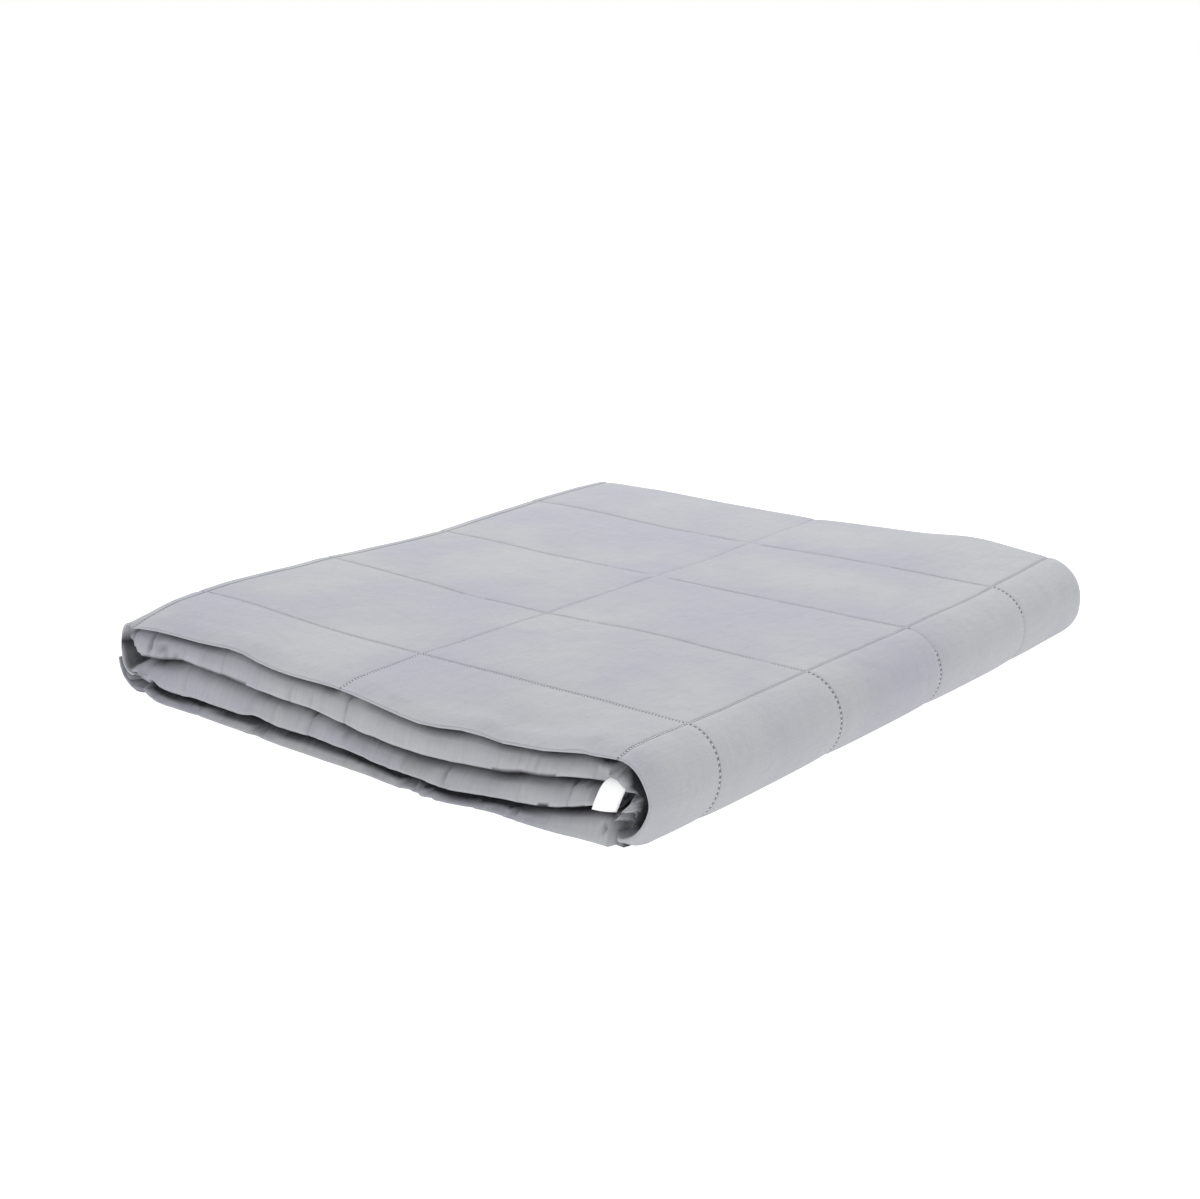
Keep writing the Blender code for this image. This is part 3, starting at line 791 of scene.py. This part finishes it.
def one_stitch():
    """One stitch of thread, lying along X, as points and faces."""
    bpy.ops.object.select_all(action="DESELECT")
    bpy.ops.mesh.primitive_uv_sphere_add(segments=6, ring_count=5, radius=1.0)
    shape = bpy.context.object
    bpy.ops.object.mode_set(mode="EDIT")
    bpy.ops.transform.rotate(value=math.radians(90), orient_axis="Y", center_override=(0, 0, 0))
    bpy.ops.object.mode_set(mode="OBJECT")
    points = np.array([vertex.co[:] for vertex in shape.data.vertices])
    faces = [tuple(face.vertices) for face in shape.data.polygons]
    mesh = shape.data
    bpy.data.objects.remove(shape, do_unlink=True)
    bpy.data.meshes.remove(mesh)
    points[:, 0] = np.sign(points[:, 0]) * np.abs(points[:, 0]) ** 0.7       # blunt ends
    return points * (STITCH_LONG / 2, STITCH_WIDE / 2, STITCH_WIDE / 2), faces


def sewn_lines(name):
    """All the stitches as one mesh, each lying in the cloth's face."""
    places = line_places()
    middle, along_u, along_v, normal = cloth_frame(places[:, 0], places[:, 1])
    runs_u = places[:, 2:3]
    long_way = along_u * runs_u + along_v * (1 - runs_u)
    wide_way = np.cross(normal, long_way)
    shape, shape_faces = one_stitch()
    dice = np.random.RandomState(11)
    swing = dice.normal(0.0, 0.06, (len(places), 1))
    stands_up = dice.normal(0.00014, 0.00004, (len(places), 1))
    long_way = long_way + swing * wide_way
    offsets = sum(shape[:, axis, None] * way[:, None]
                  for axis, way in enumerate((long_way, wide_way, normal)))
    points = (middle + stands_up * normal)[:, None] + offsets
    faces = [tuple(i + len(shape) * number for i in face)
             for number in range(len(places)) for face in shape_faces]
    return new_piece(name, points.reshape(-1, 3), faces)


def label_mesh(name):
    """The label as a thin sheet, its left edge curled a little forward."""
    rows = np.array(LABEL_ROWS)
    down = np.linspace(0, 1, 15)
    left_x, left_y, right_x, right_y, z = (bend_through(np.linspace(0, 1, len(rows)), column, down)
                                           for column in rows.T)
    across = np.linspace(0, 1, 13)[None, :]
    bow = -0.0014 * np.sin(across * math.pi) - 0.0006 * (1 - across) ** 6
    x = left_x[:, None] + (right_x - left_x)[:, None] * across
    y = left_y[:, None] + (right_y - left_y)[:, None] * across + bow * ease(down / 0.3)[:, None]
    height = z[:, None] - 0.0008 * across
    points = np.stack(np.broadcast_arrays(x, y, height), -1).reshape(-1, 3) + shift
    number = np.arange(len(points)).reshape(len(down), across.size)
    faces = np.stack([number[1:, :-1], number[1:, 1:], number[:-1, 1:], number[:-1, :-1]], -1)
    piece = new_piece(name, points, faces.reshape(-1, 4).tolist())
    bpy.ops.object.select_all(action="DESELECT")
    bpy.context.view_layer.objects.active = piece
    piece.select_set(True)
    thick = piece.modifiers.new("thickness", "SOLIDIFY")
    thick.thickness = LABEL_THICK
    bpy.ops.object.modifier_apply(modifier=thick.name)
    return piece


class Value:
    """A shader socket that can be used in Python expressions. All the nodes are made through it."""

    def __init__(self, nodes, socket=None):
        self.nodes, self.socket = nodes, socket

    def node(self, kind, settings, sockets):
        """A new node's first output: settings first, then values or links by socket name or number."""
        made = self.nodes.new(kind)
        for name, value in settings.items():
            setattr(made, name, value)
        for key, value in sockets.items():
            plug(made.inputs[key], value)
        return Value(self.nodes, made.outputs[0])

    def output(self, key):
        """Another output of the same node."""
        return Value(self.nodes, self.socket.node.outputs[key])

    def math(self, operation, *values):
        return self.node("ShaderNodeMath", {"operation": operation}, dict(enumerate(values)))

    def mix(self, share, first, second):
        """A colour between two: share 0 is the first, 1 the second. The numbers are its colour sockets."""
        made = self.node("ShaderNodeMix", {"data_type": "RGBA"}, {0: share, 6: first, 7: second})
        return made.output(2)

    def __add__(self, other):
        return self.math("ADD", self, other)

    def __sub__(self, other):
        return self.math("SUBTRACT", self, other)

    def __rsub__(self, other):
        return self.math("SUBTRACT", other, self)

    def __mul__(self, other):
        return self.math("MULTIPLY", self, other)

    def __truediv__(self, other):
        return self.math("DIVIDE", self, other)

    def __rtruediv__(self, other):
        return self.math("DIVIDE", other, self)

    __radd__, __rmul__ = __add__, __mul__


def plug(place, value):
    """Give a socket a value or a link."""
    if isinstance(value, Value):
        value.nodes.id_data.links.new(value.socket, place)
    else:
        place.default_value = value


def new_material(name, roughness, sheen):
    """A new cloth material, the maker of its nodes, and its shader."""
    material = bpy.data.materials.new(name)
    material.use_nodes = True
    nodes = material.node_tree.nodes
    shader = nodes["Principled BSDF"]
    shader.inputs["Roughness"].default_value = roughness
    shader.inputs["Sheen Weight"].default_value = sheen
    shader.inputs["Specular IOR Level"].default_value = 0.25
    return material, Value(nodes), shader


def raised(maker, shader, height, strength):
    """Let a height in metres shape the shader's normal."""
    bump = maker.node("ShaderNodeBump", {}, {"Strength": strength, "Distance": 1.0, "Height": height})
    plug(shader.inputs["Normal"], bump)


def cotton():
    """Fine plain-woven cotton: threads, slubs, soft crumples, needle holes, shade painted into the holes and
    the crevices, and slow changes of colour.
    """
    material, maker, shader = new_material("fine_cotton", 0.88, 0.08)
    cloth = maker.node("ShaderNodeUVMap", {"uv_map": "cloth"}, {})
    split = maker.node("ShaderNodeSeparateXYZ", {}, {"Vector": cloth})
    u, v = split.output("X"), split.output("Y")

    def cloud(scale_u, scale_v, scale, detail=2.0, rough=0.5):
        """Soft noise over the cloth, with its own stretch along each side."""
        place = maker.node("ShaderNodeCombineXYZ", {}, {"X": u * scale_u, "Y": v * scale_v})
        return maker.node("ShaderNodeTexNoise", {"noise_dimensions": "2D"},
                          {"Vector": place, "Scale": scale, "Detail": detail, "Roughness": rough})

    patches = cloud(1, 1, 9.0, 3.0, 0.55)
    slubs = cloud(38, 900, 1.0) * 0.5 + cloud(900, 38, 1.0) * 0.5
    grain = cloud(1, 1, 1500.0, 2.0, 0.7)

    def holes(place, first, cell, run, reach):
        """Needle holes and the pinched groove along the lines across one direction, 0 to 1: how far they are
        pressed in and how much shade is painted into them.
        """
        off = maker.math("PINGPONG", place - first, cell / 2)
        beat = maker.math("PINGPONG", run, STITCH_PITCH / 2) / (STITCH_PITCH / 2)
        near = maker.math("MAXIMUM", 1 - off / reach, 0.0)
        return maker.math("MINIMUM", near * 1.8, 1.0) * (0.42 + 0.58 * beat * beat)

    def within(place, begin, end):
        middle, reach = (begin + end) / 2, (end - begin) / 2
        return maker.math("LESS_THAN", maker.math("ABSOLUTE", place - middle), reach)

    # The stitching shows less where it lies under a fold, and hardly in the gaps.
    sewn = 1 - 0.7 * maker.math("GREATER_THAN", v, FLAP_V)
    for kind, number, begin, end in STITCH_GAPS:
        line = line_at(kind, number)
        across, run, start = (v, u, TOP_U) if kind == "L" else (u, v, 0.0)
        gap = within(across, line - 0.01, line + 0.01) * within(run, start + begin, start + end)
        sewn = sewn * (1 - 0.78 * gap)
    # Along the stitching: this sets the dents in the relief and the shade painted into the holes and the
    # groove.
    stitch_dent_and_shade = maker.math("MAXIMUM", holes(v, FIRST_LINE_V, CELL_V, u, 0.0014),
                         holes(u, FIRST_LINE_U, CELL_U, v, 0.0012)) * sewn

    in_patch = maker.math("MINIMUM", maker.math("MAXIMUM", patches * 3.0 - 1.0, 0.0), 1.0)
    tint = maker.mix(in_patch, BLUE_GREY, WARM_GREY)
    darker, lighter = maker.mix(0.88, (0, 0, 0, 1), tint), maker.mix(0.10, tint, (1, 1, 1, 1))
    tint = maker.mix((slubs + grain) * 0.5, darker, lighter)
    # Shade painted into the needle holes and along the stitched groove.
    tint = maker.mix(stitch_dent_and_shade * 0.80, tint, PAINTED_HOLE_SHADE_COLOUR)
    # Shade painted into the front folds' crevices.
    painted_crevice_shade = maker.node("ShaderNodeAttribute", {"attribute_name": "painted_crevice_shade"}, {}).output("Fac")
    tint = maker.mix(painted_crevice_shade * 0.96, tint, PAINTED_SHADE_COLOUR)
    plug(shader.inputs["Base Color"], tint)

    off_fold = maker.math("ABSOLUTE", v - (MIDDLE_V + 0.005))
    on_fold = maker.math("MAXIMUM", 1 - off_fold / 0.045, 0.0)
    turns = 2 * math.pi / WEAVE_PITCH
    weave = maker.math("SINE", u * turns) * maker.math("SINE", v * turns)
    crumple = cloud(1, 0.42, 130.0, 4.0, 0.6)
    soft = cloud(1, 1, 34.0, 2.0, 0.5)
    folds = cloud(1, 0.8, 58.0, 2.5, 0.45)
    height = (weave * WEAVE_HIGH + slubs * SLUB_HIGH + crumple * CRUMPLE_HIGH + soft * SOFT_HIGH
              + folds * on_fold * FOLD_HIGH - stitch_dent_and_shade * HOLE_DEEP)
    raised(maker, shader, height, 0.75)
    return material


def thread():
    """The sewing thread, a shade lighter than the cloth, with its fibres just showing."""
    material, maker, shader = new_material("sewing_thread", 0.7, 0.0)
    place = maker.node("ShaderNodeTexCoord", {}, {}).output("Object")
    fibres = maker.node("ShaderNodeTexNoise", {}, {"Vector": place, "Scale": 2600.0})
    plug(shader.inputs["Base Color"], maker.mix(fibres, *THREAD_COLOURS))
    return material


def label_cloth():
    """White label tape, with a fine ribbed weave."""
    material, maker, shader = new_material("white_tape", 0.6, 0.0)
    place = maker.node("ShaderNodeTexCoord", {}, {}).output("Object")
    height = maker.node("ShaderNodeSeparateXYZ", {}, {"Vector": place}).output("Z")
    ribs = maker.math("SINE", height * (2 * math.pi / RIB_PITCH))
    fibres = maker.node("ShaderNodeTexNoise", {}, {"Vector": place, "Scale": 900.0})
    plug(shader.inputs["Base Color"], maker.mix(fibres, *TAPE_COLOURS))
    raised(maker, shader, ribs * RIB_HIGH + fibres * FIBRE_HIGH, 0.5)
    return material


def set_the_stage():
    """A large pale floor, lit from below as well, like a light table."""
    bpy.ops.object.select_all(action="DESELECT")
    bpy.ops.mesh.primitive_plane_add(size=16.0, location=(0, 0, -0.0003))
    floor = bpy.context.object
    floor.name = "floor"
    white = bpy.data.materials.new("floor_white")
    white.use_nodes = True
    shader = white.node_tree.nodes["Principled BSDF"]
    shader.inputs["Base Color"].default_value = (0.35, 0.35, 0.35, 1)
    shader.inputs["Roughness"].default_value = 1.0
    shader.inputs["Specular IOR Level"].default_value = 0.0
    shader.inputs["Emission Color"].default_value = (1, 1, 1, 1)
    shader.inputs["Emission Strength"].default_value = 0.95
    floor.data.materials.append(white)


def set_the_light():
    """A white studio, with a broad soft light from above and behind."""
    scene = bpy.context.scene
    scene.view_settings.view_transform = "Standard"
    world = bpy.data.worlds.new("studio")
    world.use_nodes = True
    world.node_tree.nodes["Background"].inputs["Color"].default_value = (1, 1, 1, 1)
    world.node_tree.nodes["Background"].inputs["Strength"].default_value = 1.0
    scene.world = world
    bpy.ops.object.light_add(type="AREA", location=(-0.5, 0.9, 1.7))
    key = bpy.context.object
    key.data.shape = "DISK"
    key.data.size = 1.2
    key.data.energy = 17.0
    key.rotation_euler = (math.radians(-28), math.radians(-16), 0)


def place_the_camera():
    """At about arm's length in front and to the right, looking a little down."""
    bpy.ops.object.camera_add()
    camera = bpy.context.object
    camera.location = (0.7355 + shift[0], -0.9395 + shift[1], 0.3829)
    camera.rotation_euler = (math.radians(90 - 15.626), 0, math.radians(38.964))
    camera.data.sensor_width = 36
    camera.data.lens = 54.31
    bpy.context.scene.camera = camera


_, cad_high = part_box("blanket")
shift = np.array([cad_high.x - (RIGHT_SIDE - AIR / 2), cad_high.y - (BACK_SIDE - AIR / 2), 0.0])

blanket = cloth_mesh("quilted_cloth")
blanket.data.materials.append(cotton())
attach(blanket, "root")
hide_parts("blanket")

stitches = sewn_lines("quilting_stitches")
stitches.data.materials.append(thread())
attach(stitches, "root")

label = label_mesh("blank_label")
label.data.materials.append(label_cloth())
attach(label, "root")
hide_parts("label")

set_the_stage()
set_the_light()
place_the_camera()
